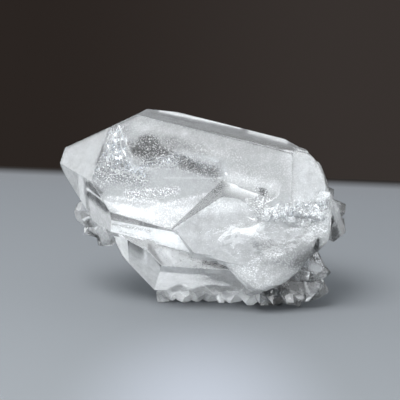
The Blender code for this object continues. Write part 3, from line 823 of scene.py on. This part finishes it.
def make_camera():
    """A camera that looks at the specimen's middle from the photograph's side."""
    data = bpy.data.cameras.new("photo camera")
    data.lens = CAMERA_LENS
    data.sensor_width = SENSOR_WIDTH
    data.clip_start = 0.01
    data.clip_end = 20.0
    camera = add_object("photo camera", data)
    camera.location = in_frame(VIEW_BACK * CAMERA_DISTANCE)
    camera.rotation_euler = (math.pi / 2 - CAMERA_RISE, 0.0, 0.0)
    bpy.context.scene.camera = camera


def new_material(name):
    """A new material, its node tree and its Principled shader."""
    material = bpy.data.materials.new(name)
    material.use_nodes = True
    return material, material.node_tree, material.node_tree.nodes["Principled BSDF"]


def add_node(tree, kind, **values):
    """A new node with these values on its sockets, a socket's name written with _ for a space."""
    made = tree.nodes.new(kind)
    for socket, value in values.items():
        made.inputs[socket.replace("_", " ")].default_value = value
    return made


def floor_tone(tree, coord):
    """The floor's tone from its near side to its far edge, which is turned by FLOOR_EDGE_TURN:
    slightly darker toward the back, a painted falloff of light, then dark at the edge.
    """
    turn = tree.nodes.new("ShaderNodeMapping")
    turn.inputs["Rotation"].default_value = (0.0, 0.0, math.radians(FLOOR_EDGE_TURN))
    tree.links.new(coord.outputs["Object"], turn.inputs["Vector"])
    split = tree.nodes.new("ShaderNodeSeparateXYZ")
    tree.links.new(turn.outputs["Vector"], split.inputs[0])
    near = add_node(tree, "ShaderNodeMapRange", From_Min=FLOOR_NEAR, From_Max=FLOOR_FAR)
    tree.links.new(split.outputs["Y"], near.inputs["Value"])
    ramp = tree.nodes.new("ShaderNodeValToRGB")
    tree.links.new(near.outputs["Result"], ramp.inputs["Fac"])
    stops = ramp.color_ramp.elements
    for position, colour in FLOOR_TONES:
        stops.new(position).color = (*colour, 1.0)
    stops.remove(stops[0])
    stops.remove(stops[-1])
    return ramp.outputs["Color"]


def painted_light_pool(tree, coord):
    """1 in the middle of the painted pool of light on the floor, and 0 from its reach on."""
    place = tree.nodes.new("ShaderNodeMapping")
    place.inputs["Location"].default_value = tuple(-value for value in FLOOR_LIGHT_POOL_PLACE)
    tree.links.new(coord.outputs["Object"], place.inputs["Vector"])
    squash = tree.nodes.new("ShaderNodeVectorMath")
    squash.operation = "DIVIDE"
    squash.inputs[1].default_value = FLOOR_LIGHT_POOL_REACH
    tree.links.new(place.outputs["Vector"], squash.inputs[0])
    away = tree.nodes.new("ShaderNodeVectorMath")
    away.operation = "LENGTH"
    tree.links.new(squash.outputs["Vector"], away.inputs[0])
    fade = add_node(tree, "ShaderNodeMapRange", From_Min=1.0, From_Max=0.0)
    fade.interpolation_type = "SMOOTHSTEP"
    tree.links.new(away.outputs["Value"], fade.inputs["Value"])
    return fade.outputs["Result"]


def make_floor_material():
    """The pale, dull table top, with a painted falloff of light and a painted pool of light in front.
    """
    material, tree, shader = new_material("pale floor")
    coord = tree.nodes.new("ShaderNodeTexCoord")
    lit = tree.nodes.new("ShaderNodeMix")
    lit.data_type = "RGBA"
    lit.inputs["B"].default_value = (*FLOOR_LIGHT_POOL_TONE, 1.0)
    tree.links.new(painted_light_pool(tree, coord), lit.inputs["Factor"])
    tree.links.new(floor_tone(tree, coord), lit.inputs["A"])
    tree.links.new(lit.outputs["Result"], shader.inputs["Base Color"])
    shader.inputs["Roughness"].default_value = FLOOR_ROUGHNESS
    shader.inputs["Specular IOR Level"].default_value = 0.0
    return material


def make_floor():
    """A pale table, brightest toward the camera, where a falloff and a pool of light are painted on.
    It ends behind the specimen in a soft dark edge.
    """
    mesh = bpy.data.meshes.new("floor")
    lean = FLOOR_REACH * math.tan(math.radians(FLOOR_EDGE_TURN))
    corners = (
        (-FLOOR_REACH, -FLOOR_REACH, 0.0),
        (FLOOR_REACH, -FLOOR_REACH, 0.0),
        (FLOOR_REACH, FLOOR_EDGE_AT - lean, 0.0),
        (-FLOOR_REACH, FLOOR_EDGE_AT + lean, 0.0),
    )
    mesh.from_pydata(corners, [], [(0, 1, 2, 3)])
    mesh.materials.append(make_floor_material())
    add_object("floor", mesh)


def make_overhead_light():
    """A soft square light above. It isn't seen through the quartz, so the quartz casts a shadow."""
    data = bpy.data.lights.new("overhead", "AREA")
    data.shape = "SQUARE"
    data.size = OVERHEAD_SIZE
    data.energy = OVERHEAD_POWER
    data.color = OVERHEAD_COLOUR
    light = add_object("overhead", data)
    light.location = OVERHEAD_PLACE
    light.visible_transmission = False
    light.visible_camera = False
    light.visible_glossy = False


def make_world():
    """A soft studio: lights above and, stronger, on the camera's side, a dark backdrop behind."""
    world = bpy.data.worlds.new("studio")
    bpy.context.scene.world = world
    world.use_nodes = True
    tree = world.node_tree
    back = tree.nodes["Background"]
    coord = tree.nodes.new("ShaderNodeTexCoord")
    split = tree.nodes.new("ShaderNodeSeparateXYZ")
    tree.links.new(coord.outputs["Generated"], split.inputs[0])
    tone = None
    for axis, start, end, colour in STUDIO_LIGHTS:
        share = tree.nodes.new("ShaderNodeMapRange")
        share.interpolation_type = "SMOOTHSTEP"
        share.inputs["From Min"].default_value = start
        share.inputs["From Max"].default_value = end
        tree.links.new(split.outputs[axis], share.inputs["Value"])
        mix = tree.nodes.new("ShaderNodeMix")
        mix.data_type = "RGBA"
        mix.inputs["B"].default_value = (*colour, 1.0)
        if tone is None:
            mix.inputs["A"].default_value = (*BACKDROP_LEFT, 1.0)
        else:
            tree.links.new(tone, mix.inputs["A"])
        tree.links.new(share.outputs[0], mix.inputs["Factor"])
        tone = mix.outputs["Result"]
    tree.links.new(tone, back.inputs["Color"])


def make_glass():
    """Clear quartz: glass, smooth on the crystal faces and unevenly broken on the mass."""
    material, tree, shader = new_material("clear quartz")
    shader.inputs["Base Color"].default_value = GLASS_TINT
    shader.inputs["Roughness"].default_value = GLASS_ROUGHNESS
    shader.inputs["Transmission Weight"].default_value = 1.0
    shader.inputs["IOR"].default_value = QUARTZ_IOR
    coord = tree.nodes.new("ShaderNodeTexCoord")
    coarse = add_node(tree, "ShaderNodeTexVoronoi", Scale=LUMP_SCALE)
    tree.links.new(coord.outputs["Object"], coarse.inputs["Vector"])
    fine = add_node(tree, "ShaderNodeTexNoise", Scale=CHIP_SCALE, Detail=CHIP_DETAIL)
    tree.links.new(coord.outputs["Object"], fine.inputs["Vector"])
    height = tree.nodes.new("ShaderNodeMath")
    height.operation = "MULTIPLY_ADD"
    height.inputs[1].default_value = LUMP_SHARE
    tree.links.new(coarse.outputs["Distance"], height.inputs[0])
    tree.links.new(fine.outputs["Fac"], height.inputs[2])
    broken = tree.nodes.new("ShaderNodeAttribute")
    broken.attribute_name = "brokenness"
    bump = add_node(tree, "ShaderNodeBump", Distance=BUMP_DEPTH)
    tree.links.new(broken.outputs["Fac"], bump.inputs["Strength"])
    tree.links.new(height.outputs[0], bump.inputs["Height"])
    tree.links.new(bump.outputs["Normal"], shader.inputs["Normal"])
    return material


def add_mix(tree, share, first, second):
    """A colour that goes from the first to the second as the share goes from 0 to 1."""
    mix = tree.nodes.new("ShaderNodeMix")
    mix.data_type = "RGBA"
    mix.inputs["A"].default_value = first
    mix.inputs["B"].default_value = second
    tree.links.new(share, mix.inputs["Factor"])
    return mix.outputs["Result"]


def add_sum(tree, first, second, third):
    """first * second + third, kept between 0 and 1."""
    total = tree.nodes.new("ShaderNodeMath")
    total.operation = "MULTIPLY_ADD"
    total.use_clamp = True
    tree.links.new(first, total.inputs[0])
    tree.links.new(second, total.inputs[1])
    if third is None:
        total.inputs[2].default_value = 0.0
    else:
        tree.links.new(third, total.inputs[2])
    return total.outputs[0]


def make_haze_group():
    """White matter inside the quartz: uneven clouds, fine light and dark grain, and a painted glow;
    its whiteness also carries painted shade and painted reflections.
    """
    tree = bpy.data.node_groups.new("haze", "ShaderNodeTree")
    for name, kind in HAZE_INPUTS:
        tree.interface.new_socket(name=name, in_out="INPUT", socket_type=kind)
    for name, kind in HAZE_OUTPUTS:
        tree.interface.new_socket(name=name, in_out="OUTPUT", socket_type=kind)
    given = tree.nodes.new("NodeGroupInput").outputs
    made = tree.nodes.new("NodeGroupOutput").inputs
    clouds = add_node(tree, "ShaderNodeTexNoise", Detail=6.0, Roughness=0.6)
    tree.links.new(given["Place"], clouds.inputs["Vector"])
    tree.links.new(given["Cloud Scale"], clouds.inputs["Scale"])
    thin, thick = CLOUD_RANGE
    spread = add_node(tree, "ShaderNodeMapRange", From_Min=thin, From_Max=thick, To_Max=1.0)
    tree.links.new(clouds.outputs["Fac"], spread.inputs["Value"])
    tree.links.new(given["Thinnest"], spread.inputs["To Min"])
    fine = add_node(tree, "ShaderNodeTexNoise", Scale=GRAIN_SCALE, Detail=3.0)
    tree.links.new(given["Place"], fine.inputs["Vector"])
    low, high = SPECK_RANGE
    clearer, whiter = SPECK_AMOUNTS
    speck = add_node(tree, "ShaderNodeMapRange", From_Min=low, From_Max=high)
    speck.inputs["To Min"].default_value = clearer
    speck.inputs["To Max"].default_value = whiter
    tree.links.new(fine.outputs["Fac"], speck.inputs["Value"])
    hiding = add_sum(tree, spread.outputs["Result"], given["Milkiness"], None)
    alpha = add_sum(tree, speck.outputs["Result"], given["Grain"], hiding)
    white = add_sum(tree, speck.outputs["Result"], given["Grain"], given["Whiteness"])
    # The haze's colour from dark to white by its whiteness, which also carries painted shade and
    # painted reflections.
    tree.links.new(add_mix(tree, white, DARK_HAZE_AND_SHADE, WHITE_HAZE), made["Color"])
    tree.links.new(alpha, made["Alpha"])
    # Painted glow: the haze gives off light of its own by its gleam amount.
    tree.links.new(add_mix(tree, given["Gleam"], NO_LIGHT, PAINTED_GLOW_TONE), made["Painted Glow"])
    return tree


def make_haze(name, group, scale, thinnest):
    """A haze material: the group fed with the piece's own place and the amounts on its corners."""
    material, tree, shader = new_material(name)
    haze = tree.nodes.new("ShaderNodeGroup")
    haze.node_tree = group
    haze.inputs["Cloud Scale"].default_value = scale
    haze.inputs["Thinnest"].default_value = thinnest
    coord = tree.nodes.new("ShaderNodeTexCoord")
    tree.links.new(coord.outputs["Object"], haze.inputs["Place"])
    for amount in ("Milkiness", "Whiteness", "Grain", "Gleam"):
        source = tree.nodes.new("ShaderNodeAttribute")
        source.attribute_name = amount.lower()
        tree.links.new(source.outputs["Fac"], haze.inputs[amount])
    tree.links.new(haze.outputs["Color"], shader.inputs["Base Color"])
    tree.links.new(haze.outputs["Alpha"], shader.inputs["Alpha"])
    # Painted glow: the haze's emission, light of its own where the gleam amount is set.
    tree.links.new(haze.outputs["Painted Glow"], shader.inputs["Emission Color"])
    shader.inputs["Emission Strength"].default_value = 1.0
    shader.inputs["Roughness"].default_value = HAZE_ROUGHNESS
    return material


def make_fracture_gloss():
    """The mirror of an air gap inside the quartz. Each facet shows as much as its glint says."""
    material, tree, shader = new_material("fracture gloss")
    glint = tree.nodes.new("ShaderNodeAttribute")
    glint.attribute_name = "glint"
    tree.links.new(glint.outputs["Fac"], shader.inputs["Alpha"])
    shader.inputs["Base Color"].default_value = MIRROR_TINT
    shader.inputs["Metallic"].default_value = 1.0
    shader.inputs["Roughness"].default_value = MIRROR_ROUGHNESS
    return material


def make_crystals(frame):
    """The cluster itself: the model's solid with its corners joined, soft where the mass is round."""
    mesh = welded_solid(frame)
    for edge in mesh.edges:
        edge.smooth = len(edge.link_faces) == 2 and edge.calc_face_angle() < SHARP_ANGLE
    for face in mesh.faces:
        face.smooth = True
    data = bpy.data.meshes.new("faden_quartz")
    mesh.to_mesh(data)
    mesh.free()
    places = np.empty(len(data.vertices) * 3)
    data.vertices.foreach_get("co", places)
    places = places.reshape(-1, 3) / MM - MIDDLE
    low, high = {name: box for name, *box in ZONES}["band"]
    broken = on_mass(places) | ((places > low) & (places < high)).all(axis=1)
    layer = data.attributes.new("brokenness", "FLOAT", "POINT")
    layer.data.foreach_set("value", (BROKEN_BUMP * broken + FACE_BUMP).astype(np.float32))
    data.materials.append(make_glass())
    piece = on_cluster("faden_quartz", data)
    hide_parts(NODE)
    chamfer = piece.modifiers.new("worn edges", "BEVEL")
    chamfer.width = EDGE_WEAR * MM
    chamfer.segments = 1
    chamfer.limit_method = "ANGLE"
    chamfer.angle_limit = SHARP_ANGLE


MASS_NORMALS = unit([side for side, _ in MASS_SIDES])
MASS_DISTANCES = np.array([distance for _, distance in MASS_SIDES])
CRYSTALS = (
    ("lower", LOWER_CENTRE, crystal_planes(LOWER_SET, LOWER_SIDES, LOWER_ENDS, LOWER_BACK)),
    ("main", MAIN_CENTRE, crystal_planes(MAIN_SET, MAIN_SIDES, MAIN_ENDS, MAIN_BACK)),
    ("front", FRONT_CENTRE, crystal_planes(FRONT_SET, FRONT_SIDES, FRONT_ENDS, FRONT_BACK)),
)

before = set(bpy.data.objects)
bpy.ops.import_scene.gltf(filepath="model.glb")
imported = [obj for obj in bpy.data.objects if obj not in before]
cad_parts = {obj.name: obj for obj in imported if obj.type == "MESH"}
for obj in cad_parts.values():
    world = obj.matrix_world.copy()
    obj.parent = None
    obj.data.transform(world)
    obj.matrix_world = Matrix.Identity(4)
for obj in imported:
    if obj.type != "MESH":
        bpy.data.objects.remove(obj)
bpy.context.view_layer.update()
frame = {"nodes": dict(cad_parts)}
scene = bpy.context.scene
scene.view_settings.view_transform = "Standard"
scene.cycles.max_bounces = 24
scene.cycles.transmission_bounces = 20
scene.cycles.diffuse_bounces = 16
scene.cycles.glossy_bounces = 16
scene.cycles.transparent_max_bounces = 48
make_camera()
make_floor()
make_world()
make_overhead_light()
make_crystals(frame)

haze_group = make_haze_group()
cloud = make_haze("milky cloud", haze_group, *INNER_HAZE)
skin = make_haze("surface haze and painted light", haze_group, *SURFACE_HAZE)
gloss = make_fracture_gloss()

make_mass_cloud(cloud)
make_haze_skin(frame, skin)
surface = surface_of(frame)
for number, row in enumerate(FRACTURES):
    fracture(*row, gloss, surface, FRACTURE_SEED + number)
for number, (pixels, depth, radius) in enumerate(CRACKS):
    path = under_surface(np.array(pixels, float), surface, depth)
    thread(f"crack_{number}", path, radius, cloud, CRACK_SEED + number)
faden_path = under_face(np.array(FADEN_PATH, float), "main 0", FADEN_DEPTH)
thread("faden", faden_path, FADEN_RADIUS, cloud, FADEN_SEED)
